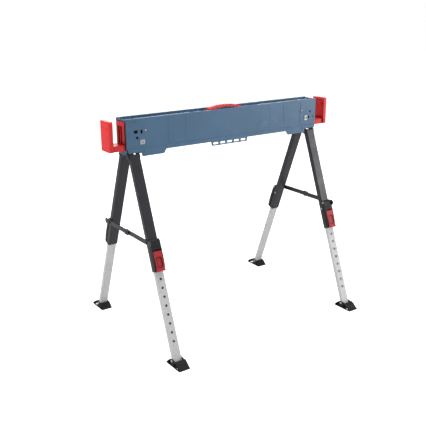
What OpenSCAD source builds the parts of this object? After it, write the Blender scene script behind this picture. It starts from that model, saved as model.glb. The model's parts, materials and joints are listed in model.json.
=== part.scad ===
// Folding builders trestle. A sheet steel beam stands on two pairs of
// telescopic legs. A cradle for upright timber pulls out of each end.
// X runs along the beam, the front is -Y, and the feet stand on Z = 0.

/* [Beam] */
// Length of the beam without its cradles
beam_len = 900; // [880:5:960]
// Width of the beam across its top rims
beam_w = 73; // [72.8:0.2:78]
// Thickness of the beam's sheet
sheet = 1.5; // [1.2:0.1:1.6]
// Height of the handle's arch above the rims
handle_rise = 12; // [8:1:14]
// Width of the handle's grip
handle_w = 22; // [18:1:26]

/* [Cradles] */
// Width of the timber slot
slot_w = 48; // [40:1:52]
// Depth of the timber slot
slot_depth = 89; // [80:1:89]
// Thickness of the cradle's outer wall
cradle_wall = 15; // [10:1:18]

/* [Legs] */
// Angle of each leg from upright
spread = 20.8; // [19:0.2:22]
// Lock hole in use, counted from the foot
lock_hole = 9; // [1:1:9]
// Spacing of the lock holes
hole_pitch = 32.5; // [28:0.5:34]
// Width of the outer leg tube, along the beam
tube_w = 40; // [37:0.5:40]
// Depth of the outer leg tube
tube_d = 20; // [18:0.5:21]
// Wall thickness of both tubes
tube_t = 1.4; // [1.2:0.1:1.6]
// Space between the two tubes on each side
tube_gap = 1.3; // [1:0.1:1.5]
// Length of the outer tube below its top pin
outer_len = 419.3; // [415:0.1:435]

/* [Struts] */
// Height of a strut link
link_h = 22; // [18:1:24]
// Thickness of a strut link
link_t = 2.5; // [2:0.1:3]

/* [Feet] */
// Length of the foot plate outside its bolt
foot_out = 54; // [48:1:60]
// Length of the foot plate inside its bolt
foot_in = 37; // [32:1:44]
// Width of the foot plate
foot_w = 45; // [44:1:50]

/* [Hidden] */
$fn = 48;
eps = 0.01;
// Running clearance of a pin in its hole, on the radius
fit = 0.05;
pin_r = 4;
bore_r = pin_r + fit;
gap = 0.3;

// Beam, measured down from the top rims
half_len = beam_len / 2;
wall_y = beam_w / 2;
wall_in = wall_y - sheet;
band_y = wall_y + 2;
band_in = band_y - sheet;
rim_in = wall_y - 6.5;
wall_low = 122;
tab_low = 138;
step_z = 108;
deck_z = 8;
ridge_h = 3;
opening_half = 29;

// Leg carriers and pivots
fold_x = half_len - 72;
fold_z = 119;
leg_x = half_len - 30;
hip_y = 31.8;
hip_drop = 134;
foot_bolt_z = 20;
lock_t = outer_len - 2.1;
hole_to_foot = 67.35;
hole_count = 9;
leg_t = lock_t + (lock_hole - 1) * hole_pitch + hole_to_foot;
hip_z = foot_bolt_z + leg_t * cos(spread);
top_z = hip_z + hip_drop;
foot_y = hip_y + leg_t * sin(spread);

// Inner tube, lock and strut
inner_w = tube_w - 2 * (tube_t + tube_gap);
inner_d = tube_d - 2 * (tube_t + tube_gap);
inner_up = hole_to_foot + (hole_count - 1) * hole_pitch + 112.9;
inner_down = 8;
hole_r = 4.6;
housing_top = outer_len - 115;
lever_t = outer_len - 67;
lever_end = lock_t + 5.3;
collar_end = outer_len + 1.6;
lever_v = tube_d / 2 + 7;
lever_half = 17;
lever_out = 14.8;
stud_t = outer_len - 108.5;
stud_y = hip_y + stud_t * sin(spread);
stud_z = hip_z - stud_t * cos(spread);
link_tail = 34;
link_off = [tube_w / 2 + 1.2, tube_w / 2 + 1.2 + link_t + gap];

// Cradle
cradle_out = 2;
inner_wall = 12;
cradle_half = 28.5;
cap_half = 34.5;
cradle_top = 3;
floor_t = 20;
cradle_low = cradle_top + slot_depth + floor_t;
cradle_x = half_len + cradle_out;
cap_x = cradle_x + slot_w;
tongue_end = half_len - 140;

blue = "steelblue";
red = "crimson";
dark = "dimgray";
light = "silver";
black = "black";

// Helpers

// Puts a right-hand shape at the left (-1) or right (1) end
module at_end(sx) {
    scale_side = sx < 0 ? 1 : 0;
    mirror([scale_side, 0, 0]) children();
}

// Puts a back right shape at any corner
module at_corner(sx, sy) {
    flip_y = sy < 0 ? 1 : 0;
    at_end(sx) mirror([0, flip_y, 0]) children();
}

// Leg frame: origin at the top pin, y outwards from the leg, z up along it
module at_leg(sx, sy) {
    at_corner(sx, sy)
        translate([leg_x, hip_y, hip_z])
            rotate([spread, 0, 0]) children();
}

// Beam frame: origin in the middle of the top rims' level
module in_beam() {
    translate([0, 0, top_z]) children();
}

// Extrudes an outline drawn in (y, z) along X, from x0 to x1
module along_x(x0, x1) {
    translate([x0, 0, 0]) rotate([90, 0, 90])
        linear_extrude(x1 - x0) children();
}

// Extrudes an outline drawn in (x, z) along Y, from y0 to y1
module along_y(y0, y1) {
    translate([0, y1, 0]) rotate([90, 0, 0])
        linear_extrude(y1 - y0) children();
}

// Round rod along X or Y
module rod_x(x0, x1, r) {
    translate([x0, 0, 0]) rotate([0, 90, 0]) cylinder(r = r, h = x1 - x0);
}

module rod_y(y0, y1, r) {
    translate([0, y1, 0]) rotate([90, 0, 0]) cylinder(r = r, h = y1 - y0);
}

// Box from one corner to the other
module block(a, b) {
    translate(a) cube(b - a);
}

// Rectangle with round corners
module round_rect(w, d, r) {
    square([w - 2 * r, d], center = true);
    square([w, d - 2 * r], center = true);
    for (x = [-1, 1], y = [-1, 1])
        translate([x * (w / 2 - r), y * (d / 2 - r)]) circle(r);
}

// Slot with round ends, given its length and height
module slot_2d(w, h) {
    r = min(w, h) / 2;
    square([w > h ? w - 2 * r : w, h > w ? h - 2 * r : h], center = true);
    for (s = [-1, 1])
        translate(w > h ? [s * (w / 2 - r), 0] : [0, s * (h / 2 - r)]) circle(r);
}

// Rectangular tube with round edges between two heights
module tube(w, d, t, r, z0, z1) {
    difference() {
        translate([0, 0, z0]) linear_extrude(z1 - z0) round_rect(w, d, r);
        translate([0, 0, z0 - 1]) linear_extrude(z1 - z0 + 2)
            round_rect(w - 2 * t, d - 2 * t, r - t / 2);
    }
}

// Beam

// Section of a side panel: top rim, upper wall, step and lower band
module side_profile() {
    polygon([
        [rim_in, -deck_z], [rim_in, -1], [rim_in + 1, 0],
        [wall_y - 2, 0], [wall_y - 0.6, -0.6], [wall_y, -2],
        [wall_y, -step_z], [band_y - 0.5, -step_z - 0.3], [band_y, -step_z - 0.9],
        [band_y, -wall_low], [band_in, -wall_low], [band_in, -step_z - 2],
        [wall_in, -step_z - 1.6],
        [wall_in, -sheet - 1], [wall_in - 1, -sheet], [rim_in + sheet, -sheet],
        [rim_in + sheet, -deck_z]
    ]);
}

// End tab that carries the fold pin, drawn for the right-hand end
module end_tab() {
    difference() {
        union() {
            polygon([
                [half_len - 60, -wall_low + 4], [half_len - 60, -tab_low + 6],
                [half_len - 66, -tab_low], [half_len - 150, -tab_low],
                [half_len - 154, -tab_low + 2], [half_len - 166, -wall_low + 4]
            ]);
            translate([half_len - 66, -tab_low + 6]) circle(6);
        }
        translate([fold_x, -fold_z]) circle(bore_r);
    }
}

// Tab in the middle with its row of slots
module centre_tab() {
    difference() {
        polygon([
            [-88, -wall_low + 4], [-85, -tab_low + 2], [-83, -tab_low],
            [83, -tab_low], [85, -tab_low + 2], [88, -wall_low + 4]
        ]);
        for (i = [-2:2])
            translate([i * 33, -129]) slot_2d(24, 8);
    }
}

// Holes through the front panel's wall, as seen from the front
module wall_holes() {
    translate([33 - half_len, -10]) circle(2.6);
    translate([39 - half_len, -47]) slot_2d(17, 12);
    translate([62 - half_len, -48]) slot_2d(8, 15);
    translate([44 - half_len, -69]) circle(5);
    translate([half_len - 31, -53]) circle(4.6);
    translate([half_len - 37, -76]) circle(5);
    translate([half_len - 16, -74]) circle(4.5);
    translate([64 - half_len, -85.5]) circle(3);
    translate([half_len - 54, -77.5]) circle(3);
    translate([78 - half_len, -44]) circle(2);
    translate([half_len - 78, -44]) circle(2);
    translate([half_len - 86, -56]) slot_2d(1.6, 92);
    for (s = [-1, 1]) translate([s * fold_x, -fold_z]) circle(bore_r);
}

// Upright beads pressed outwards into the wall
module wall_beads() {
    for (x = [-275, -200, 200, 275])
        translate([x, 0, 0])
            along_y(wall_y - 0.2, wall_y + 0.5)
                translate([0, -56]) slot_2d(3, 92);
}

module beam_side() {
    mirror([0, 1, 0]) difference() {
        union() {
            along_x(-half_len, half_len) side_profile();
            along_y(band_in, band_y) {
                end_tab();
                mirror([1, 0]) end_tab();
                centre_tab();
            }
            wall_beads();
        }
        along_y(wall_in - 2, band_y + 2) wall_holes();
        for (s = [0, 1]) mirror([s, 0, 0])
            along_y(wall_in - 3, band_y + 3)
                polygon([
                    [half_len + 1, -94], [half_len, -94],
                    [half_len - 7, -wall_low - 1], [half_len + 1, -wall_low - 1]
                ]);
    }
}

module beam_side_front() {
    color(blue) in_beam() beam_side();
}

module beam_side_back() {
    color(blue) in_beam() rotate([0, 0, 180]) beam_side();
}

// Half length of the carrying handle, the width of its end legs, and its pins
handle_half = 77;
handle_leg = 18;
handle_pin_x = handle_half - handle_leg / 2;
// Places along the deck: tray, finger openings, cross plate and the long slots
tray_x = handle_half + 29;
opening_x = tray_x + 37;
opening_w = 32;
bulkhead_x = half_len - 210;
ridge_from = opening_x + 19;
ridge_to = half_len - 48;
slot_from = opening_x + 22;
slot_to = half_len - 55;
deck_slot_y = 19.5;

// Deck with its raised ridge, its openings and the handle pocket
module deck_outline() {
    difference() {
        translate([3 - half_len, -wall_in])
            square([beam_len - 6, 2 * wall_in]);
        round_rect(2 * tray_x - 6, 46, 8);
        for (s = [-1, 1]) translate([s * opening_x, 0]) round_rect(opening_w, 44, 7);
        for (x = [-1, 1], y = [-1, 1])
            translate([x * (slot_from + slot_to) / 2, y * deck_slot_y])
                round_rect(slot_to - slot_from, 18, 4);
    }
}

module ridge() {
    along_x(ridge_from, ridge_to)
        polygon([
            [-9, -deck_z - eps], [-4, -deck_z + ridge_h], [4, -deck_z + ridge_h],
            [9, -deck_z - eps], [9 - sheet, -deck_z - sheet], [7 - sheet, -deck_z - sheet],
            [3, -deck_z + ridge_h - sheet], [-3, -deck_z + ridge_h - sheet],
            [sheet - 7, -deck_z - sheet], [sheet - 9, -deck_z - sheet]
        ]);
}

module beam_deck() {
    color(blue) in_beam() {
        difference() {
            translate([0, 0, -deck_z - sheet]) linear_extrude(sheet) deck_outline();
            for (s = [0, 1]) mirror([s, 0, 0])
                block([ridge_from, -7 + sheet, -deck_z - sheet - 1], [ridge_to, 7 - sheet, 0]);
        }
        for (s = [0, 1]) mirror([s, 0, 0]) ridge();
        // Folded lips around the two openings
        for (s = [-1, 1]) translate([s * opening_x, 0, -deck_z - 6]) difference() {
            linear_extrude(6)
                round_rect(opening_w + 2 * sheet, 44 + 2 * sheet, 7 + sheet);
            translate([0, 0, -1]) linear_extrude(8) round_rect(opening_w, 44, 7);
        }
    }
}

// Frame in the beam's mouth, which the cradle passes through
module end_frame() {
    in_beam() difference() {
        union() {
            along_x(half_len - 3, half_len - 3 + sheet)
                polygon([
                    [-wall_in, -deck_z - 0.5], [0.3 - rim_in, -deck_z - 0.5],
                    [0.3 - rim_in, -2], [rim_in - 0.3, -2],
                    [rim_in - 0.3, -deck_z - 0.5], [wall_in, -deck_z - 0.5],
                    [wall_in, -118], [24, -130], [-24, -130], [-wall_in, -118]
                ]);
            for (s = [0, 1]) mirror([0, s, 0])
                block([half_len - 18, wall_in - sheet, -106], [half_len - 2, wall_in, -10]);
        }
        along_x(half_len - 5, half_len)
            translate([0, -(cradle_low + cradle_top - 1) / 2 - 4])
                round_rect(2 * opening_half, cradle_low - cradle_top - 5, 2);
    }
}

module end_frame_left() {
    color(blue) at_end(-1) end_frame();
}

module end_frame_right() {
    color(blue) at_end(1) end_frame();
}

// Flanged cross plate that stiffens the beam, clear of the slots above it
bulkhead_top = 14;
bulkhead_low = 106;

module bulkhead() {
    in_beam() translate([bulkhead_x, 0, 0]) {
        difference() {
            along_x(0, sheet)
                translate([0, -(bulkhead_top + bulkhead_low) / 2])
                    round_rect(2 * wall_in, bulkhead_low - bulkhead_top, 4);
            along_x(-1, sheet + 1) translate([0, -58]) circle(24);
        }
        for (s = [0, 1]) mirror([0, s, 0])
            block([0, wall_in - sheet, 8 - bulkhead_low], [12, wall_in, -bulkhead_top - 4]);
    }
}

module bulkhead_left() {
    color(blue) at_end(-1) bulkhead();
}

module bulkhead_right() {
    color(blue) at_end(1) bulkhead();
}

// Folded tray under the handle pocket
tray_y = 25;
tray_low = 46;
handle_pin_z = 22;

module handle_tray() {
    color(blue) in_beam() difference() {
        union() {
            along_x(-tray_x, tray_x)
                polygon([
                    [-tray_y - 5, -deck_z - sheet], [-tray_y, -deck_z - sheet],
                    [-tray_y, 2 - tray_low], [2 - tray_y, -tray_low],
                    [tray_y - 2, -tray_low], [tray_y, 2 - tray_low],
                    [tray_y, -deck_z - sheet], [tray_y + 5, -deck_z - sheet],
                    [tray_y + 5, -deck_z - 2 * sheet], [tray_y + sheet, -deck_z - 2 * sheet],
                    [tray_y + sheet, 1.4 - tray_low], [tray_y - 1.4, -tray_low - sheet],
                    [1.4 - tray_y, -tray_low - sheet], [-tray_y - sheet, 1.4 - tray_low],
                    [-tray_y - sheet, -deck_z - 2 * sheet], [-tray_y - 5, -deck_z - 2 * sheet]
                ]);
            for (s = [-1, 1])
                block([s * tray_x - sheet / 2, -tray_y - 1, -tray_low - 1],
                    [s * tray_x + sheet / 2, tray_y + 1, -deck_z - sheet]);
        }
        for (s = [-1, 1])
            translate([s * handle_pin_x, 0, -handle_pin_z])
                rod_y(-tray_y - 6, tray_y + 6, 3 + fit);
        for (s = [-1, 1])
            translate([s * 50, 0, -tray_low - 3]) cylinder(r = 4, h = 6);
    }
}

// Tongue of the cradle, and the clearance and thickness of its channels
tongue_half = 26;
tongue_top = 40;
tongue_low = 98;
tongue_t = 1.6;
guide_gap = 0.4;
guide_t = 3.6;

// Channels that guide the cradle's tongue
module guide() {
    side = tongue_half + guide_gap;
    top = tongue_top - guide_gap;
    low = tongue_low + guide_gap;
    in_beam() for (s = [0, 1]) mirror([0, s, 0])
        along_x(half_len - 165, half_len - 61)
            polygon([
                [wall_in, -low - guide_t], [tongue_half - 8, -low - guide_t],
                [tongue_half - 8, -low], [side, -low], [side, -top], [tongue_half - 8, -top],
                [tongue_half - 8, guide_t - top], [wall_in, guide_t - top],
                [wall_in, -tongue_top - 2], [tongue_half + 3, -tongue_top - 5],
                [tongue_half + 3, 5 - tongue_low], [wall_in, 2 - tongue_low]
            ]);
}

module guide_left() {
    color(black) at_end(-1) guide();
}

module guide_right() {
    color(black) at_end(1) guide();
}

// Round-head rivets through the walls
module rivet_pair(x, z) {
    for (a = [0, 180]) rotate([0, 0, a])
        translate([x, -wall_y, z]) {
            rod_y(-1.6, 0, 2.9);
            rod_y(0, sheet + 1.5, 2 - fit);
        }
}

module beam_rivets() {
    color(light) in_beam() {
        rivet_pair(78 - half_len, -44);
        rivet_pair(half_len - 78, -44);
    }
}

// Screws that hold the guides, each with its rounded latch plate and a
// deep round recess
module screw_pair(x, z, w, h) {
    for (a = [0, 180]) rotate([0, 0, a])
        translate([x, -wall_y, z]) difference() {
            union() {
                along_y(-1.6, 0) round_rect(w, h, 4);
                rod_y(-3.4, 0, 6.6);
                rod_y(0, sheet + 1.5, 3 - fit);
            }
            rod_y(-4, -0.9, 4.8);
        }
}

module guide_screws() {
    color(light) in_beam() {
        screw_pair(64 - half_len, -85.5, 20, 17);
        screw_pair(half_len - 54, -77.5, 16, 20);
    }
}

// Carrying handle

handle_drop = 12;
handle_low = 32;
handle_t = 11;
handle_arc = (handle_half * handle_half + handle_rise * handle_rise) / (2 * handle_rise);

// Height of the grip's underside at a place along it
function grip_under(x) =
    handle_rise - handle_arc + sqrt(pow(handle_arc - handle_t, 2) - x * x);

module handle_outline() {
    difference() {
        intersection() {
            translate([0, handle_rise - handle_arc]) circle(handle_arc, $fn = 180);
            translate([-handle_half, -handle_low])
                square([2 * handle_half, handle_low + handle_rise + 1]);
        }
        intersection() {
            translate([0, handle_rise - handle_arc]) circle(handle_arc - handle_t, $fn = 180);
            translate([handle_leg - handle_half, -handle_low - 1])
                square([2 * (handle_half - handle_leg), handle_low + handle_rise + 2]);
        }
        // Upright slots that the two cross pins run in
        for (s = [-1, 1])
            translate([s * handle_pin_x, handle_drop / 2 - handle_pin_z])
                slot_2d(6.6, 6.6 + handle_drop);
        for (s = [-1, 1])
            translate([s * handle_half, -handle_low]) rotate(45) square(6, center = true);
    }
}

// Grip section across the handle, with eased edges
module grip_section() {
    h = handle_low + handle_rise + 2;
    polygon([
        [-handle_w / 2, -handle_low - 1], [handle_w / 2, -handle_low - 1],
        [handle_w / 2, -2], [handle_w / 2 - 5, h - handle_low - 1.6],
        [5 - handle_w / 2, h - handle_low - 1.6], [-handle_w / 2, -2]
    ]);
}

module handle() {
    color(red) in_beam() difference() {
        intersection() {
            along_y(-handle_w / 2, handle_w / 2) handle_outline();
            along_x(-handle_half - 1, handle_half + 1) grip_section();
        }
        // Finger grooves under the grip
        for (x = [-36:18:36])
            translate([x, 0, grip_under(x) - 7]) rod_y(-handle_w, handle_w, 9);
    }
}

module handle_pins() {
    color(light) in_beam() for (s = [-1, 1])
        translate([s * handle_pin_x, 0, -handle_pin_z]) {
            rod_y(-tray_y - sheet - 1, tray_y + sheet + 1, 3);
            for (m = [0, 1]) mirror([0, m, 0])
                rod_y(tray_y + sheet, tray_y + sheet + 1.5, 4.5);
        }
}

// Cradles

// Outline of the outer wall seen from above, with its two bevels
module cap_plan() {
    polygon([
        [cap_x, -cap_half], [cap_x + cradle_wall * 0.9, -cap_half],
        [cap_x + cradle_wall, -25], [cap_x + cradle_wall, 25],
        [cap_x + cradle_wall * 0.9, cap_half], [cap_x, cap_half]
    ]);
}

// Outline of the outer wall seen from its end, with round top corners
module cap_face() {
    translate([-cap_half, -cradle_low + 3]) square([2 * cap_half, cradle_low - cradle_top - 10]);
    translate([7 - cap_half, -cradle_low]) square([2 * cap_half - 14, cradle_low - cradle_top]);
    for (s = [-1, 1]) {
        translate([s * (cap_half - 7), -cradle_top - 7]) circle(7);
        translate([s * (cap_half - 3), -cradle_low + 3]) circle(3);
    }
    translate([3 - cap_half, -cradle_low]) square([2 * cap_half - 6, 6]);
}

// Inner wall: a frame around an upright window with a thin rib
module inner_wall_face() {
    difference() {
        translate([0, -(cradle_low + 10.5) / 2])
            round_rect(2 * cradle_half, cradle_low - 10.5, 5);
        translate([-3.5, -58]) round_rect(13, 62, 3);
        translate([14, -58]) round_rect(15, 62, 3);
        translate([4, -19]) circle(2.5);
    }
}

module cradle() {
    in_beam() difference() {
        union() {
            intersection() {
                translate([0, 0, -cradle_low - 1]) linear_extrude(cradle_low + 2) cap_plan();
                along_x(cap_x - 1, cap_x + cradle_wall + 1) cap_face();
            }
            block([cradle_x - inner_wall, -cradle_half, -cradle_low],
                [cap_x + 1, cradle_half, floor_t - cradle_low]);
            along_x(cradle_x - inner_wall, cradle_x) inner_wall_face();
        }
        // Shallow hollow in the inner side of the outer wall
        along_x(cap_x - 1, cap_x + 4)
            translate([0, -50]) round_rect(2 * cap_half - 17, 76, 5);
        // Hollows under the floor
        for (x = [cradle_x + slot_w * 0.27, cradle_x + slot_w * 0.73])
            translate([x, 0, -cradle_low - 1])
                linear_extrude(floor_t - 3) round_rect(slot_w * 0.36, 46, 3);
        // Fixing hole through the outer wall
        translate([0, -19, -28]) rod_x(cap_x - 1, cap_x + cradle_wall + 1, 2.5);
        translate([0, 19, -28]) rod_x(cap_x - 1, cap_x + cradle_wall + 1, 2.5);
    }
}

module cradle_left() {
    color(red) at_end(-1) cradle();
}

module cradle_right() {
    color(red) at_end(1) cradle();
}

// Steel channel behind the cradle, which runs in the guides
module tongue() {
    x1 = cradle_x - inner_wall;
    in_beam() difference() {
        union() {
            along_x(tongue_end, x1)
                difference() {
                    translate([-tongue_half, -tongue_low])
                        square([2 * tongue_half, tongue_low - tongue_top]);
                    translate([tongue_t - tongue_half, tongue_t - tongue_low])
                        square([2 * (tongue_half - tongue_t), tongue_low]);
                }
            along_x(x1 - tongue_t, x1)
                translate([0, -(tongue_top + tongue_low) / 2])
                    round_rect(2 * tongue_half, tongue_low - tongue_top, 2);
        }
        for (y = [-15, 15])
            translate([(tongue_end + x1) / 2, y, -tongue_low - 2]) cylinder(r = 5, h = 6);
        for (y = [-3.5, 14])
            translate([0, y, -58]) rod_x(x1 - 3, x1 + 1, 4);
    }
}

module tongue_left() {
    color(light) at_end(-1) tongue();
}

module tongue_right() {
    color(light) at_end(1) tongue();
}

// Leg carriers

arm_y = 34.8;
arm_t = 2.5;
cheek_in = leg_x - tube_w / 2 - 2.3;
cheek_out = leg_x + tube_w / 2 + 0.3;

module cheek_outline() {
    polygon([
        [-arm_y, -118], [arm_y, -118], [arm_y, -131], [hip_y + 7, -133],
        [hip_y + 9, -138], [hip_y + 6, -145], [hip_y, -147],
        [14, -143], [8, -132], [-8, -132], [-14, -143],
        [-hip_y, -147], [-hip_y - 6, -145], [-hip_y - 9, -138],
        [-hip_y - 7, -133], [-arm_y, -131]
    ]);
}

module carrier() {
    in_beam() difference() {
        union() {
            along_x(cheek_in, cheek_in + 2) cheek_outline();
            along_x(cheek_out, cheek_out + 2) cheek_outline();
            block([cheek_in, -19, -120], [cheek_out + 2, 19, -118]);
            for (s = [0, 1]) mirror([0, s, 0])
                along_y(arm_y - arm_t, arm_y) {
                    translate([fold_x, -fold_z]) circle(8);
                    translate([fold_x, -126]) square([cheek_in - fold_x + 1, 14]);
                }
            translate([fold_x, 0, -fold_z]) rod_y(-arm_y, arm_y, 6.4);
        }
        translate([fold_x, 0, -fold_z]) rod_y(-arm_y - 1, arm_y + 1, bore_r);
        for (s = [-1, 1])
            translate([0, s * hip_y, -hip_drop]) rod_x(cheek_in - 1, cheek_out + 3, bore_r);
    }
}

module carrier_left() {
    color(dark) at_end(-1) carrier();
}

module carrier_right() {
    color(dark) at_end(1) carrier();
}

// Pin that the carrier folds on, riveted into the tabs
module fold_pin() {
    in_beam() translate([fold_x, 0, -fold_z]) {
        rod_y(-band_y - 1, band_y + 1, pin_r);
        for (s = [0, 1]) mirror([0, s, 0]) rod_y(band_y, band_y + 1.2, 4.6);
    }
}

module fold_pin_left() {
    color(blue) at_end(-1) fold_pin();
}

module fold_pin_right() {
    color(blue) at_end(1) fold_pin();
}

module leg_bolts() {
    in_beam() for (s = [-1, 1])
        translate([0, s * hip_y, -hip_drop]) {
            rod_x(cheek_in - 1.2, cheek_out + 4, pin_r);
            rod_x(cheek_out + 2, cheek_out + 4.2, 6.5);
        }
}

module leg_bolts_left() {
    color(dark) at_end(-1) leg_bolts();
}

module leg_bolts_right() {
    color(dark) at_end(1) leg_bolts();
}

// Legs, drawn in the leg frame

// Strut stud welded to the tube, with its collar and its head
module stud(off) {
    translate([0, 0, -stud_t]) {
        rod_x(tube_w / 2 - 0.5, off - gap / 2, 8);
        rod_x(tube_w / 2, off + link_t + 1, pin_r);
        rod_x(off + link_t + gap / 2, off + link_t + 1.5, 7);
    }
}

module outer_tube(off) {
    difference() {
        union() {
            intersection() {
                tube(tube_w, tube_d, tube_t, 3, -outer_len, tube_d);
                union() {
                    block([-tube_w, -tube_d, -outer_len - 1], [tube_w, tube_d, 0]);
                    rod_x(-tube_w, tube_w, tube_d / 2);
                }
            }
            stud(off);
        }
        rod_x(-tube_w, tube_w / 2 + 5, bore_r);
        translate([0, tube_d / 2, -lock_t]) rod_y(-3, 3, hole_r);
        block([-hole_r, tube_d / 2 - 3, -outer_len - 1], [hole_r, tube_d / 2 + 3, -lock_t]);
    }
}

module outer_tube_lf() {
    color(dark) at_leg(-1, -1) outer_tube(link_off[0]);
}

module outer_tube_lb() {
    color(dark) at_leg(-1, 1) outer_tube(link_off[1]);
}

module outer_tube_rf() {
    color(dark) at_leg(1, -1) outer_tube(link_off[0]);
}

module outer_tube_rb() {
    color(dark) at_leg(1, 1) outer_tube(link_off[1]);
}

// Lock housing: a closed top block, two cheeks beside the lever, and a
// collar around the inner tube at the outer tube's mouth
module housing() {
    v0 = tube_d / 2;
    half = tube_w / 2 + 0.4;
    t0 = housing_top;
    collar = collar_end;
    difference() {
        union() {
            along_x(-half, half)
                polygon([
                    [v0, -t0], [v0 + 7, -t0 - 1], [v0 + 11.6, -t0 - 6], [v0 + 13.2, -t0 - 16],
                    [v0 + lever_out - 0.4, -t0 - 34], [v0 + lever_out - 0.4, -t0 - 76],
                    [v0 + lever_out - 2, -t0 - 98], [v0 + 10, -collar + 6],
                    [v0 + 7, -collar], [v0, -collar]
                ]);
            translate([0, 0, -collar]) linear_extrude(collar - outer_len)
                round_rect(tube_w + 1, tube_d + 1, 3.5);
        }
        // Pocket for the lever, with a floor over the tube
        block([-lever_half - 0.5, v0 + 2, -collar - 1], [lever_half + 0.5, v0 + 20, -t0 - 39.5]);
        // Mouth for the inner tube
        translate([0, 0, -collar - 1]) linear_extrude(collar - outer_len + 2)
            round_rect(inner_w + 0.5, inner_d + 0.5, 2.4);
        // Notch for the lock pin
        translate([0, v0, -lock_t]) rod_y(-1, 4, hole_r);
        block([-hole_r, 0, -collar - 1], [hole_r, v0 + 4, -lock_t]);
        // Grooves that set off the top block
        for (t = [12, 30])
            translate([0, v0 + 14.6, -t0 - t]) rod_x(-half - 1, half + 1, 1.2);
    }
    // Trunnion that the lever turns on
    translate([0, lever_v, -lever_t]) rod_x(-lever_half - 1, lever_half + 1, 2.5);
}

module housing_lf() {
    color(dark) at_leg(-1, -1) housing();
}

module housing_lb() {
    color(dark) at_leg(-1, 1) housing();
}

module housing_rf() {
    color(dark) at_leg(1, -1) housing();
}

module housing_rb() {
    color(dark) at_leg(1, 1) housing();
}

// Squeeze lever with a finger recess and a flared lower end
module lever() {
    v1 = tube_d / 2 + lever_out;
    difference() {
        union() {
            along_x(-lever_half, lever_half)
                polygon([
                    [lever_v + 1, -lever_t + 5], [v1 - 2, -lever_t + 4], [v1, -lever_t],
                    [v1 + 0.4, -lever_t - 38], [v1, -lever_end + 10], [v1 + 2.6, -lever_end + 1],
                    [v1 + 1, -lever_end], [v1 - 3.4, -lever_end + 5], [v1 - 4, -lever_end + 10],
                    [v1 - 3.6, -lever_t - 38], [v1 - 4, -lever_t - 8], [lever_v + 2, -lever_t - 5]
                ]);
            translate([0, lever_v, -lever_t]) rod_x(-lever_half, lever_half, 4.8);
            // Side flanges and the boss that holds the lock pin
            for (s = [0, 1]) mirror([s, 0, 0])
                along_x(lever_half - 2, lever_half)
                    polygon([
                        [lever_v, -lever_t - 4], [v1 - 2, -lever_t - 4],
                        [v1 - 2, -lever_end + 8], [v1 - 6, -lever_end + 8]
                    ]);
            translate([0, 0, -lock_t]) rod_y(tube_d / 2 + 7, v1 - 1, 5.2);
        }
        translate([0, lever_v, -lever_t]) rod_x(-tube_w, tube_w, 2.5 + fit);
        translate([0, 0, -lock_t]) rod_y(0, v1 - 3, pin_r + fit);
        // Oval finger recess
        translate([0, v1 - 2.3, -lever_end + 33]) rotate([-90, 0, 0])
            linear_extrude(5) round_rect(24, 40, 9);
    }
}

module lever_lf() {
    color(red) at_leg(-1, -1) lever();
}

module lever_lb() {
    color(red) at_leg(-1, 1) lever();
}

module lever_rf() {
    color(red) at_leg(1, -1) lever();
}

module lever_rb() {
    color(red) at_leg(1, 1) lever();
}

// Lock pin, which stops just short of the inner tube
module lock_pin() {
    v0 = tube_d / 2 - tube_t - tube_gap;
    translate([0, 0, -lock_t]) {
        rod_y(v0 + 1, tube_d / 2 + lever_out - 3.1, pin_r);
        rod_y(v0 + 0.5, v0 + 1, pin_r - 0.5);
    }
}

module lock_pin_lf() {
    color(light) at_leg(-1, -1) lock_pin();
}

module lock_pin_lb() {
    color(light) at_leg(-1, 1) lock_pin();
}

module lock_pin_rf() {
    color(light) at_leg(1, -1) lock_pin();
}

module lock_pin_rb() {
    color(light) at_leg(1, 1) lock_pin();
}

// Inner tube with its row of lock holes and a swaged top end
module inner_tube() {
    guide_w = tube_w - 2 * tube_t - 0.4;
    guide_d = tube_d - 2 * tube_t - 0.4;
    translate([0, 0, -leg_t]) difference() {
        union() {
            tube(inner_w, inner_d, tube_t, 2.2, -inner_down, inner_up);
            tube(guide_w, guide_d, tube_t + tube_gap, 2.6, inner_up - 10, inner_up);
        }
        for (i = [0:hole_count - 1])
            translate([0, inner_d / 2, hole_to_foot + i * hole_pitch]) rod_y(-3, 3, hole_r);
        rod_x(-tube_w, tube_w, bore_r);
    }
}

module inner_tube_lf() {
    color(light) at_leg(-1, -1) inner_tube();
}

module inner_tube_lb() {
    color(light) at_leg(-1, 1) inner_tube();
}

module inner_tube_rf() {
    color(light) at_leg(1, -1) inner_tube();
}

module inner_tube_rb() {
    color(light) at_leg(1, 1) inner_tube();
}

// Feet, drawn at the back right corner with the bolt above (leg_x, foot_y)

ear_in = inner_w / 2 + 0.4;
ear_t = 2.5;

// Place and height of the outer strip's upper end
ramp_y = 19;
ramp_z = 24.5;

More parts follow.
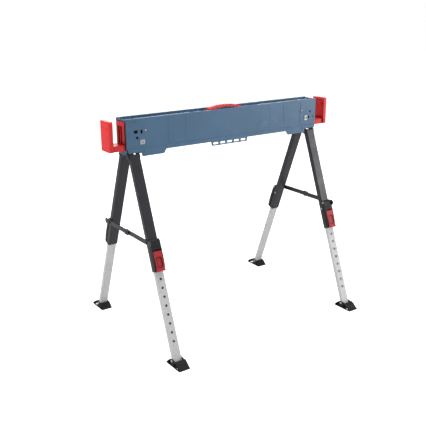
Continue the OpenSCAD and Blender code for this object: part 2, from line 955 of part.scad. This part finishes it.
module foot() {
    translate([leg_x, foot_y, 0]) difference() {
        union() {
            // Base plate
            along_x(-foot_w / 2, foot_w / 2)
                polygon([
                    [-foot_in, 2], [1 - foot_in, 0.6], [3 - foot_in, 0], [foot_out - 2, 0],
                    [foot_out, 1], [foot_out, 2], [foot_out - 1, 3], [1 - foot_in, 3]
                ]);
            // Strips that slope down to both ends, open at the sides
            along_x(-foot_w / 2, foot_w / 2) {
                polygon([
                    [ramp_y, ramp_z], [ramp_y + 2, ramp_z], [32, 18.8], [41, 11.2],
                    [foot_out - 3, 3.6], [foot_out - 1, 2], [foot_out - 8, 2],
                    [39.6, 9.4], [31, 16.6], [ramp_y + 1.4, ramp_z - 2.2], [ramp_y, ramp_z - 2.2]
                ]);
                polygon([
                    [-12, 22.4], [-14.6, 22.4], [-25, 13.6], [2 - foot_in, 3.6],
                    [1 - foot_in, 2], [7 - foot_in, 2], [-24, 11], [-14.6, 20.2],
                    [-12, 20.2]
                ]);
            }
            // Two ears for the bolt, with an arm out to the outer strip
            for (s = [0, 1]) mirror([s, 0, 0])
                along_x(ear_in, ear_in + ear_t) {
                    translate([0, foot_bolt_z]) circle(7.5);
                    polygon([
                        [-14, 2], [-13.4, 21.8], [-6.4, foot_bolt_z + 4],
                        [2, foot_bolt_z + 7.2], [ramp_y, ramp_z - 0.2], [ramp_y + 1, ramp_z - 2],
                        [ramp_y - 1, ramp_z - 8], [10, 12], [14, 2]
                    ]);
                }
        }
        translate([0, 0, foot_bolt_z]) rod_x(-foot_w, foot_w, bore_r);
        // Openings in the plate below the strips
        translate([0, 0, -1]) linear_extrude(5) {
            translate([0, (24 + foot_out - 10) / 2]) round_rect(foot_w - 8, foot_out - 34, 3);
            translate([0, (11 - foot_in - 22) / 2]) round_rect(foot_w - 8, foot_in - 33, 1.5);
        }
        // Grip grooves across the underside
        for (y = [-18:6:18])
            translate([0, y, -0.4]) rod_x(-foot_w, foot_w, 1);
    }
}

module foot_lf() {
    color(black) at_corner(-1, -1) foot();
}

module foot_lb() {
    color(black) at_corner(-1, 1) foot();
}

module foot_rf() {
    color(black) at_corner(1, -1) foot();
}

module foot_rb() {
    color(black) at_corner(1, 1) foot();
}

module foot_bolt() {
    x1 = ear_in + ear_t;
    translate([leg_x, foot_y, foot_bolt_z]) {
        rod_x(-x1 - 2, x1 + 2, pin_r);
        rod_x(-x1 - 2, -x1 - gap / 2, 5);
        rod_x(x1 + gap / 2, x1 + 2, 5);
    }
}

module foot_bolt_lf() {
    color(light) at_corner(-1, -1) foot_bolt();
}

module foot_bolt_lb() {
    color(light) at_corner(-1, 1) foot_bolt();
}

module foot_bolt_rf() {
    color(light) at_corner(1, -1) foot_bolt();
}

module foot_bolt_rb() {
    color(light) at_corner(1, 1) foot_bolt();
}

// Struts

module link(off) {
    translate([leg_x, 0, stud_z]) difference() {
        along_x(off, off + link_t) {
            translate([0, 2 - link_h / 2]) square([stud_y + link_tail - link_h / 2, link_h - 4]);
            circle(link_h / 2);
            translate([stud_y + link_tail - link_h / 2, 0]) circle(link_h / 2);
        }
        translate([0, stud_y, 0]) rod_x(off - 1, off + link_t + 1, bore_r);
    }
}

module link_lf() {
    color(dark) at_corner(-1, -1) link(link_off[0]);
}

module link_lb() {
    color(dark) at_corner(-1, 1) link(link_off[1]);
}

module link_rf() {
    color(dark) at_corner(1, -1) link(link_off[0]);
}

module link_rb() {
    color(dark) at_corner(1, 1) link(link_off[1]);
}

// Knuckle plate and rivet in the middle of a strut, on the back link
module knuckle() {
    x0 = leg_x + link_off[1] + link_t;
    translate([0, 0, stud_z]) {
        along_x(x0, x0 + 1.6) round_rect(30, link_h, 3);
        rod_x(x0, x0 + 3.4, 6);
    }
}

module knuckle_left() {
    color(dark) at_end(-1) knuckle();
}

module knuckle_right() {
    color(dark) at_end(1) knuckle();
}

beam_side_front();
beam_side_back();
beam_deck();
end_frame_left();
end_frame_right();
bulkhead_left();
bulkhead_right();
handle_tray();
guide_left();
guide_right();
beam_rivets();
guide_screws();
handle();
handle_pins();
fold_pin_left();
fold_pin_right();
cradle_left();
cradle_right();
tongue_left();
tongue_right();
carrier_left();
carrier_right();
leg_bolts_left();
leg_bolts_right();
outer_tube_lf();
outer_tube_lb();
outer_tube_rf();
outer_tube_rb();
housing_lf();
housing_lb();
housing_rf();
housing_rb();
lever_lf();
lever_lb();
lever_rf();
lever_rb();
lock_pin_lf();
lock_pin_lb();
lock_pin_rf();
lock_pin_rb();
inner_tube_lf();
inner_tube_lb();
inner_tube_rf();
inner_tube_rb();
foot_lf();
foot_lb();
foot_rf();
foot_rb();
foot_bolt_lf();
foot_bolt_lb();
foot_bolt_rf();
foot_bolt_rb();
link_lf();
link_lb();
link_rf();
link_rb();
knuckle_left();
knuckle_right();
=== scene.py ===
"""Dresses the folding builders trestle and sets its camera, floor and lights.

Every CAD node keeps its shape and gets a material. Small turned and welded details are added
where the CAD has plain pins. Lengths are in metres, in the CAD's own frame.
"""
import json
import math

import bmesh
import bpy
from mathutils import Matrix, Vector, noise


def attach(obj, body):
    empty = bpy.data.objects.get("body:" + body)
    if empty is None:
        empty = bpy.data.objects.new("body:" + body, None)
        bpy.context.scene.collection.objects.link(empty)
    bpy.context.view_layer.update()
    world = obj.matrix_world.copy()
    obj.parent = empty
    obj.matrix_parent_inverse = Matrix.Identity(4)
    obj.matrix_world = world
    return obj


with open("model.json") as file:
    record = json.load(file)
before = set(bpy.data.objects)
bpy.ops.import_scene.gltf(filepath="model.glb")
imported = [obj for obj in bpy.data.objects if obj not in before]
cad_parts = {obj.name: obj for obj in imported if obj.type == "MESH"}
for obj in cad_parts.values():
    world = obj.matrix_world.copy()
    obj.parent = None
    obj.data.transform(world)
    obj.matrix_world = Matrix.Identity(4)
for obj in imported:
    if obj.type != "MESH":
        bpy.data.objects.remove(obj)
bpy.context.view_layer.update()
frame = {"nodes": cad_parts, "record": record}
nodes = frame["nodes"]

MM = 0.001

# Camera, fitted to the known sizes: angles in degrees, lens and sensor in millimetres
CAMERA_AT = (-1.5543, -2.1552, 1.2641)
CAMERA_AZIMUTH = -34.85
CAMERA_ELEVATION = 17.69
CAMERA_ROLL = -0.17
LENS = 57.72
SENSOR = 36.0
CLIP_END = 50.0

# Floor and surroundings
WHITE = (1, 1, 1, 1)
FLOOR_HALF = 12.0
FLOOR_DROP = 0.5 * MM
FLOOR_COLOUR = (0.8, 0.8, 0.8, 1)
FLOOR_ROUGHNESS = 0.9
FLOOR_SPECULAR = 0.1
FLOOR_GLOW = 0.75
SKY_COLOUR = (0.97, 0.985, 1, 1)
SKY_STRENGTH = 0.42

# Area lights: name, place, point aimed at, (width, height) and power in watts
LIGHTS = (
    ("key", (-3.4, 0.3, 2.0), (-0.2, 0, 0.5), (1.6, 1.8), 66),
    ("front_right", (2.6, -2.25, 1.25), (0.45, 0, 0.55), (1.2, 1.6), 52),
    ("top", (0.2, -0.2, 3.8), (0, 0, 0.4), (2.6, 2.2), 75),
    ("back", (2.1, 2.9, 1.35), (0, 0, 0.84), (2.4, 0.8), 34),
)


def add_object(name, data):
    """Puts a new object with this data in the scene."""
    thing = bpy.data.objects.new(name, data)
    bpy.context.scene.collection.objects.link(thing)
    return thing


def make_camera():
    data = bpy.data.cameras.new("camera")
    data.lens = LENS
    data.sensor_width = SENSOR
    data.clip_end = CLIP_END
    camera = add_object("camera", data)
    turn = (
        Matrix.Rotation(math.radians(CAMERA_AZIMUTH), 4, "Z")
        @ Matrix.Rotation(math.radians(90 - CAMERA_ELEVATION), 4, "X")
        @ Matrix.Rotation(math.radians(CAMERA_ROLL), 4, "Z")
    )
    camera.matrix_world = Matrix.Translation(CAMERA_AT) @ turn
    bpy.context.scene.camera = camera


def make_light(name, place, aim, size, power):
    data = bpy.data.lights.new(name, "AREA")
    data.shape = "RECTANGLE"
    data.size, data.size_y = size
    data.energy = power
    light = add_object(name, data)
    light.location = place
    towards = Vector(aim) - Vector(place)
    light.rotation_euler = towards.to_track_quat("-Z", "Y").to_euler()


def make_floor():
    """A plain pale floor, lifted towards white where it is seen directly."""
    half = FLOOR_HALF
    mesh = bpy.data.meshes.new("floor")
    mesh.from_pydata(
        [(-half, -half, 0), (half, -half, 0), (half, half, 0), (-half, half, 0)],
        [],
        [(0, 1, 2, 3)],
    )
    floor = add_object("floor", mesh)
    floor.location.z = -FLOOR_DROP
    material = bpy.data.materials.new("floor")
    material.use_nodes = True
    tree = material.node_tree
    shader = tree.nodes["Principled BSDF"]
    shader.inputs["Base Color"].default_value = FLOOR_COLOUR
    shader.inputs["Roughness"].default_value = FLOOR_ROUGHNESS
    shader.inputs["Specular IOR Level"].default_value = FLOOR_SPECULAR
    shader.inputs["Emission Color"].default_value = WHITE
    path = tree.nodes.new("ShaderNodeLightPath")
    lift = tree.nodes.new("ShaderNodeMath")
    lift.operation = "MULTIPLY"
    lift.inputs[1].default_value = FLOOR_GLOW
    tree.links.new(path.outputs["Is Camera Ray"], lift.inputs[0])
    tree.links.new(lift.outputs["Value"], shader.inputs["Emission Strength"])
    mesh.materials.append(material)


def make_surroundings():
    """Soft light from all round, in front of a white backdrop."""
    world = bpy.data.worlds.new("studio")
    world.use_nodes = True
    tree = world.node_tree
    glow = tree.nodes["Background"]
    glow.inputs["Color"].default_value = SKY_COLOUR
    glow.inputs["Strength"].default_value = SKY_STRENGTH
    backdrop = tree.nodes.new("ShaderNodeBackground")
    backdrop.inputs["Color"].default_value = WHITE
    path = tree.nodes.new("ShaderNodeLightPath")
    choose = tree.nodes.new("ShaderNodeMixShader")
    tree.links.new(path.outputs["Is Camera Ray"], choose.inputs["Fac"])
    tree.links.new(glow.outputs["Background"], choose.inputs[1])
    tree.links.new(backdrop.outputs["Background"], choose.inputs[2])
    tree.links.new(choose.outputs["Shader"], tree.nodes["World Output"].inputs["Surface"])
    bpy.context.scene.world = world


def make_stage():
    make_floor()
    make_surroundings()
    for light in LIGHTS:
        make_light(*light)
    bpy.context.scene.view_settings.view_transform = "Standard"
    bpy.context.scene.view_settings.look = "None"
    bpy.context.scene.view_settings.exposure = 0.0


# Materials

BEVEL_SAMPLES = 4
HOLLOW_SAMPLES = 6

# The lean of the rounded normal, as 1 less its cosine, where an edge's mask starts and is full
EDGE_START = 0.03
EDGE_FULL = 0.35


def scaled(colour, factor):
    """The colour times a factor, with no channel above 1."""
    return tuple(min(c * factor, 1) for c in colour)


class Shade:
    """A node material that is put together from a few standard stages."""

    def __init__(self, name, colour, roughness, metallic=0.0, specular=0.5):
        self.material = bpy.data.materials.new(name)
        self.material.use_nodes = True
        tree = self.material.node_tree
        self.nodes, self.links = tree.nodes, tree.links
        self.shader = self.nodes["Principled BSDF"]
        self.shader.inputs["Metallic"].default_value = metallic
        self.shader.inputs["Specular IOR Level"].default_value = specular
        self.colour = colour
        self.roughness = roughness
        self.place = self.nodes.new("ShaderNodeTexCoord").outputs["Object"]
        self.normal = None
        self.tint = None

    def noise(self, scale, detail, stretch=(1, 1, 1), distortion=0.0):
        mapping = self.nodes.new("ShaderNodeMapping")
        mapping.inputs["Scale"].default_value = stretch
        node = self.nodes.new("ShaderNodeTexNoise")
        node.inputs["Scale"].default_value = scale
        node.inputs["Detail"].default_value = detail
        node.inputs["Distortion"].default_value = distortion
        self.links.new(self.place, mapping.inputs["Vector"])
        self.links.new(mapping.outputs["Vector"], node.inputs["Vector"])
        return node.outputs["Fac"]

    def ramp(self, value, low, high, at_low=0.0, at_high=1.0):
        """Maps low..high to at_low..at_high, and holds those ends beyond them."""
        node = self.nodes.new("ShaderNodeMapRange")
        node.inputs["From Min"].default_value = low
        node.inputs["From Max"].default_value = high
        node.inputs["To Min"].default_value = at_low
        node.inputs["To Max"].default_value = at_high
        self.links.new(value, node.inputs["Value"])
        return node.outputs["Result"]

    def patches(self, scale, detail, low=0.3, high=0.7, **shape):
        """A mask of soft patches: noise that rises from 0 at low to 1 at high."""
        return self.ramp(self.noise(scale, detail, **shape), low, high)

    def edges(self, radius):
        """A mask that is 1 along sharp edges: the rounded normal against the true one."""
        geometry = self.nodes.new("ShaderNodeNewGeometry")
        dot = self.nodes.new("ShaderNodeVectorMath")
        dot.operation = "DOT_PRODUCT"
        self.links.new(self.rounded(radius), dot.inputs[0])
        self.links.new(geometry.outputs["Normal"], dot.inputs[1])
        return self.ramp(dot.outputs["Value"], 1 - EDGE_START, 1 - EDGE_FULL)

    def shade_in_hollows(self, reach, shut, free):
        """A mask that is 1 in recesses and inner corners, where shade falls, for painted shade.

        It is 1 where the share shut of what lies within reach is open, and 0 where free is.
        """
        node = self.nodes.new("ShaderNodeAmbientOcclusion")
        node.samples = HOLLOW_SAMPLES
        node.inputs["Distance"].default_value = reach
        return self.ramp(node.outputs["AO"], free, shut)

    def times(self, a, b):
        node = self.nodes.new("ShaderNodeMath")
        node.operation = "MULTIPLY"
        node.use_clamp = True
        self.links.new(a, node.inputs[0])
        self.links.new(b, node.inputs[1])
        return node.outputs["Value"]

    def mix(self, mask, under, over):
        """Mixes from under, a colour or a socket, to the colour over."""
        node = self.nodes.new("ShaderNodeMix")
        node.data_type = "RGBA"
        socket_a, socket_b, result = node.inputs[6], node.inputs[7], node.outputs[2]
        self.links.new(mask, node.inputs["Factor"])
        if isinstance(under, tuple):
            socket_a.default_value = under + (1,)
        else:
            self.links.new(under, socket_a)
        socket_b.default_value = over + (1,)
        return result

    def vary(self, mask, dark, light):
        """Starts the colour, between two multiples of the material's own."""
        self.tint = self.mix(mask, scaled(self.colour, dark), scaled(self.colour, light))

    def over(self, mask, colour, amount=1.0):
        """Lays another colour over the present one, by up to amount where the mask is 1."""
        self.tint = self.mix(self.ramp(mask, 0, 1, 0, amount), self.tint, colour)

    def rounded(self, radius):
        """The normal with sharp edges rounded."""
        bevel = self.nodes.new("ShaderNodeBevel")
        bevel.samples = BEVEL_SAMPLES
        bevel.inputs["Radius"].default_value = radius
        return bevel.outputs["Normal"]

    def soften(self, radius):
        """Rounds the look of sharp edges. It comes before any bump."""
        self.normal = self.rounded(radius)

    def bump(self, height, distance, strength):
        node = self.nodes.new("ShaderNodeBump")
        node.inputs["Distance"].default_value = distance
        node.inputs["Strength"].default_value = strength
        self.links.new(height, node.inputs["Height"])
        self.links.new(self.normal, node.inputs["Normal"])
        self.normal = node.outputs["Normal"]

    def done(self, patches, span):
        """Links all to the shader. The roughness wanders by span either way."""
        rough = self.ramp(patches, 0, 1, self.roughness - span, self.roughness + span)
        self.links.new(rough, self.shader.inputs["Roughness"])
        self.links.new(self.tint, self.shader.inputs["Base Color"])
        self.links.new(self.normal, self.shader.inputs["Normal"])
        return self.material


DUST = (0.55, 0.56, 0.56)


def powder_coat(name, colour, roughness, wear=(0.32, 0.34, 0.36), specular=0.45):
    """Baked paint: fine grain on soft waves, a breath of dust, and edges rubbed pale."""
    shade = Shade(name, colour, roughness, specular=specular)
    shade.soften(0.7 * MM)
    shade.vary(shade.patches(6, 4), dark=0.9, light=1.1)
    specks = shade.patches(35, 6, low=0.56, high=0.72, distortion=0.6)
    dusty = shade.patches(3.5, 2, low=0.4, high=0.65)
    shade.over(shade.times(specks, dusty), DUST, amount=0.05)
    rub = shade.patches(60, 4, low=0.52, high=0.68)
    shade.over(shade.times(shade.edges(0.9 * MM), rub), wear)
    shade.bump(shade.noise(1400, 2), distance=0.05 * MM, strength=0.5)
    shade.bump(shade.noise(90, 2), distance=0.12 * MM, strength=0.4)
    return shade.done(shade.patches(22, 5), span=0.06)


def moulded(name, colour, roughness, grain=900, depth=0.05 * MM, specular=0.35, shut=0.6):
    """Moulded plastic: fine grain, edges rubbed pale, and painted shade in the recesses."""
    shade = Shade(name, colour, roughness, specular=specular)
    shade.soften(1.0 * MM)
    shade.vary(shade.patches(9, 3), dark=0.92, light=1.08)
    rub = shade.patches(45, 4, low=0.45, high=0.7)
    pale = tuple(min(c * 1.3 + 0.05, 1) for c in colour)
    shade.over(shade.times(shade.edges(1.2 * MM), rub), pale, amount=0.3)
    # Painted shade: darkens the colour in recesses and inner corners, as if they were in shadow
    hollow_shade = shade.shade_in_hollows(9 * MM, shut=shut, free=0.98)
    shade.over(hollow_shade, scaled(colour, 0.12), amount=0.9)
    shade.bump(shade.noise(grain, 2), distance=depth, strength=0.6)
    return shade.done(shade.patches(30, 4), span=0.07)


def bare_metal(name, colour, roughness, stretch, metallic):
    """Drawn metal: streaks along its length, dull patches, stains and painted shade along its
    edges.
    """
    shade = Shade(name, colour, roughness, metallic=metallic)
    shade.soften(0.5 * MM)
    shade.vary(shade.patches(60, 4, low=0.35, high=0.65, stretch=stretch), dark=0.86, light=1.06)
    dull = shade.patches(14, 5, low=0.7, high=0.3, distortion=1.2)
    shade.over(dull, scaled(colour, 0.7), amount=0.3)
    stains = shade.patches(28, 6, low=0.6, high=0.78, distortion=0.8)
    shade.over(stains, scaled(colour, 0.6), amount=0.35)
    # Painted shade: darkens the colour along sharp edges, where the corners turn from the light
    shade.over(shade.edges(1.1 * MM), scaled(colour, 0.4), amount=0.45)
    shade.bump(shade.noise(120, 4, stretch=stretch), distance=0.03 * MM, strength=0.6)
    return shade.done(shade.patches(40, 5), span=0.09)


BLUE = (0.056, 0.132, 0.225)
DARK = (0.016, 0.0155, 0.021)
FOOT_BLACK = (0.006, 0.006, 0.0063)
RED = (0.68, 0.022, 0.024)
# Painted shade: the levers' red is the same plastic as RED, darkened as if in shade
SHADED_LEVER_RED = (0.40, 0.020, 0.026)
HOUSING_BLACK = (0.009, 0.0088, 0.0105)
ZINC = (0.52, 0.53, 0.55)
TUBE_GREY = (0.58, 0.58, 0.575)

# Each look's function, colour, roughness and whatever else it takes
RECIPES = {
    "blue_paint": (powder_coat, BLUE, 0.42, {}),
    "dark_paint": (powder_coat, DARK, 0.4, {"wear": (0.16, 0.16, 0.16), "specular": 0.38}),
    "foot_paint": (powder_coat, FOOT_BLACK, 0.6, {"wear": (0.1, 0.1, 0.1), "specular": 0.25}),
    "red_plastic": (moulded, RED, 0.38, {}),
    # Painted shade: a darker, shaded copy of the red plastic, with stronger painted shade in the
    # finger pocket
    "lever_plastic": (moulded, SHADED_LEVER_RED, 0.5, {"specular": 0.25, "shut": 0.86}),
    "dark_plastic": (
        moulded, HOUSING_BLACK, 0.5, {"grain": 1200, "depth": 0.07 * MM, "specular": 0.25}
    ),
    "zinc_steel": (bare_metal, ZINC, 0.5, {"stretch": (1, 1, 6), "metallic": 0.8}),
    "tube_steel": (bare_metal, TUBE_GREY, 0.62, {"stretch": (8, 8, 0.6), "metallic": 0.1}),
}
LOOKS = {
    name: make(name, colour, roughness, **more)
    for name, (make, colour, roughness, more) in RECIPES.items()
}

# Nodes that look unlike the rest of their slot, by the first word of their name: painted shade,
# as the levers take a darker shaded copy of the red plastic and the tongue is painted dark where
# shade falls
PAINTED_SHADE_LOOK = {"lever": "lever_plastic", "tongue": "dark_paint"}


def dress_nodes():
    """Gives every CAD node its material."""
    slots = {s["node"]: s["material_slot"] for s in frame["record"]["subparts"]}
    for name, node in nodes.items():
        look = PAINTED_SHADE_LOOK.get(name.split("_")[0], slots[name])
        node.data.materials.clear()
        node.data.materials.append(LOOKS[look])


# Small turned and welded details

ENDS = {"left": -1, "right": 1}
SIDES = {"f": -1, "b": 1}

# Where the CAD's pins and faces are at rest. OUT is a distance from a leg's middle along x.
LEG_X = 0.420
LEG_LEAN = math.radians(20.8)
HIP_X = 0.4445
HIP_Y = 0.0318
HIP_Z = 0.716024
STUD_Y = 0.142167
STUD_Z = 0.425481
STUD_OUT = {"f": 0.0252, "b": 0.028}
WELD_OUT = 0.0204
FOOT_Y = 0.296195
FOOT_BOLT_Z = 0.020
FOOT_BOLT_OUT = 0.0222
FOLD_X = 0.378
FOLD_Y = 0.0397
FOLD_Z = 0.731024
WALL_RIVET_X = 0.372
WALL_RIVET_Y = 0.0381
WALL_RIVET_Z = 0.806024

# On a leg's inboard face: how far down the leg, how far out from its middle plane, and OUT
EYELET_AT = (0.314, 0.0175, 0.0204)
RIVET_AT = (0.337, 0.0005, 0.0200)

# Heads: radius and height
HIP_HEAD = (5.6 * MM, 1.8 * MM)
STUD_HEAD = (6.2 * MM, 1.7 * MM)
FOOT_HEAD = (4.4 * MM, 1.3 * MM)
SIDE_HEAD = (4.0 * MM, 1.4 * MM)
FOLD_HEAD = (4.0 * MM, 0.9 * MM)
WALL_HEAD = (2.6 * MM, 0.9 * MM)

# Eyelet: radius, hole's radius and height. Weld: radius of the ring and of its bead.
EYELET = (4.2 * MM, 1.9 * MM, 2.0 * MM)
WELD = (8.3 * MM, 0.75 * MM)


def facing(axis):
    """The turn that takes the z axis to this one."""
    return Vector((0, 0, 1)).rotation_difference(Vector(axis).normalized()).to_matrix()


def turned(mesh, profile, place, axis, segments=28):
    """Adds a solid of revolution: profile is a list of (radius, height) along the axis."""
    turn = facing(axis)
    rings = []
    for radius, height in profile:
        ring = []
        for i in range(segments if radius > 0 else 1):
            a = 2 * math.pi * i / segments
            point = Vector((radius * math.cos(a), radius * math.sin(a), height))
            ring.append(mesh.verts.new(Vector(place) + turn @ point))
        rings.append(ring)
    for low, high in zip(rings, rings[1:]):
        for i in range(segments):
            j = (i + 1) % segments
            if len(high) == 1:
                mesh.faces.new((low[i], low[j], high[0]))
            else:
                mesh.faces.new((low[i], low[j], high[j], high[i]))
    mesh.faces.new(list(reversed(rings[0])))
    if len(rings[-1]) > 1:
        mesh.faces.new(rings[-1])


def dome(radius, height):
    """Profile of a rivet's round head, which stands on a short skirt and ends in a tip."""
    steps = 7
    skirt = height * 0.12
    outline = [(radius * 0.98, 0.0), (radius, skirt)]
    for i in range(1, steps):
        a = math.pi / 2 * i / steps
        outline.append((radius * math.cos(a), skirt + (height - skirt) * math.sin(a)))
    return outline + [(0.0, height)]


def eyelet(radius, hole, height):
    """Profile of a rolled eyelet around a sunk middle."""
    return [
        (hole, height * 0.15),
        (hole, height * 0.75),
        (hole * 1.15, height * 0.95),
        ((hole + radius) / 2, height),
        (radius * 0.93, height * 0.8),
        (radius, height * 0.4),
        (radius, 0.0),
    ]


def weld_bead(mesh, place, axis, radius, thick, seed):
    """Adds a ring of weld around a round collar, with even ripples and uneven swells."""
    segments, around = 44, 8
    ripples, ripple_height, swell_height = 13, 0.14, 0.18
    flatness = 0.75
    turn = facing(axis)
    rings = []
    for i in range(segments):
        a = 2 * math.pi * i / segments
        swell = noise.noise((3 * math.cos(a), 3 * math.sin(a), seed))
        bead = thick * (1 + ripple_height * math.sin(a * ripples) + swell_height * swell)
        ring = []
        for j in range(around):
            b = 2 * math.pi * j / around
            out = radius + bead * math.cos(b)
            up = flatness * bead * math.sin(b)
            point = Vector((out * math.cos(a), out * math.sin(a), up))
            ring.append(mesh.verts.new(Vector(place) + turn @ point))
        rings.append(ring)
    for i, ring in enumerate(rings):
        beside = rings[(i + 1) % segments]
        for j in range(around):
            k = (j + 1) % around
            mesh.faces.new((ring[j], beside[j], beside[k], ring[k]))


def finish_piece(name, mesh, body, slot):
    """Makes the mesh a smooth piece of a body, with its slot's material."""
    bmesh.ops.recalc_face_normals(mesh, faces=mesh.faces)
    data = bpy.data.meshes.new(name)
    mesh.to_mesh(data)
    mesh.free()
    for polygon in data.polygons:
        polygon.use_smooth = True
    data.materials.append(LOOKS[slot])
    piece = add_object(name, data)
    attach(piece, body)


def inboard(sx, sy, down, out, from_middle):
    """A point on the inboard face of a leg, as EYELET_AT gives it."""
    s, c = math.sin(LEG_LEAN), math.cos(LEG_LEAN)
    return (
        sx * (LEG_X - from_middle),
        sy * (HIP_Y + down * s + out * c),
        HIP_Z - down * c + out * s,
    )


def make_hip_heads(end, sx):
    """Heads of the two hip rivets of a pair of legs."""
    mesh = bmesh.new()
    for sy in SIDES.values():
        turned(mesh, dome(*HIP_HEAD), (sx * HIP_X, sy * HIP_Y, HIP_Z), (sx, 0, 0))
    finish_piece("hip_rivet_heads_" + end, mesh, "carrier_" + end, "dark_paint")


def make_leg_details(leg, sx, sy, stud_out):
    """A leg's strut stud head and weld, foot bolt heads, and inboard eyelet and rivet."""
    mesh = bmesh.new()
    outboard = (sx, 0, 0)
    place = (sx * (LEG_X + stud_out), sy * STUD_Y, STUD_Z)
    turned(mesh, dome(*STUD_HEAD), place, outboard)
    place = (sx * (LEG_X + WELD_OUT), sy * STUD_Y, STUD_Z)
    weld_bead(mesh, place, outboard, *WELD, seed=2.0 * sx + sy)
    finish_piece("stud_head_" + leg, mesh, "leg_" + leg, "dark_paint")

    mesh = bmesh.new()
    for s in (-1, 1):
        place = (sx * LEG_X + s * FOOT_BOLT_OUT, sy * FOOT_Y, FOOT_BOLT_Z)
        turned(mesh, dome(*FOOT_HEAD), place, (s, 0, 0))
    finish_piece("foot_rivet_heads_" + leg, mesh, "inner_" + leg, "zinc_steel")

    mesh = bmesh.new()
    turned(mesh, eyelet(*EYELET), inboard(sx, sy, *EYELET_AT), (-sx, 0, 0))
    turned(mesh, dome(*SIDE_HEAD), inboard(sx, sy, *RIVET_AT), (-sx, 0, 0))
    finish_piece("side_rivets_" + leg, mesh, "leg_" + leg, "zinc_steel")


def make_beam_heads(name, size, place, slot):
    """Four like heads on the beam's front and back walls, near both ends."""
    x, y, z = place
    mesh = bmesh.new()
    for sx in ENDS.values():
        for sy in SIDES.values():
            turned(mesh, dome(*size), (sx * x, sy * y, z), (0, sy, 0))
    finish_piece(name, mesh, "beam", slot)


def make_details():
    for end, sx in ENDS.items():
        make_hip_heads(end, sx)
        for side, sy in SIDES.items():
            make_leg_details(end[0] + side, sx, sy, STUD_OUT[side])
    fold_pin = (FOLD_X, FOLD_Y, FOLD_Z)
    wall_rivet = (WALL_RIVET_X, WALL_RIVET_Y, WALL_RIVET_Z)
    make_beam_heads("fold_pin_heads", FOLD_HEAD, fold_pin, "blue_paint")
    make_beam_heads("wall_rivet_heads", WALL_HEAD, wall_rivet, "zinc_steel")


make_camera()
make_stage()
dress_nodes()
make_details()
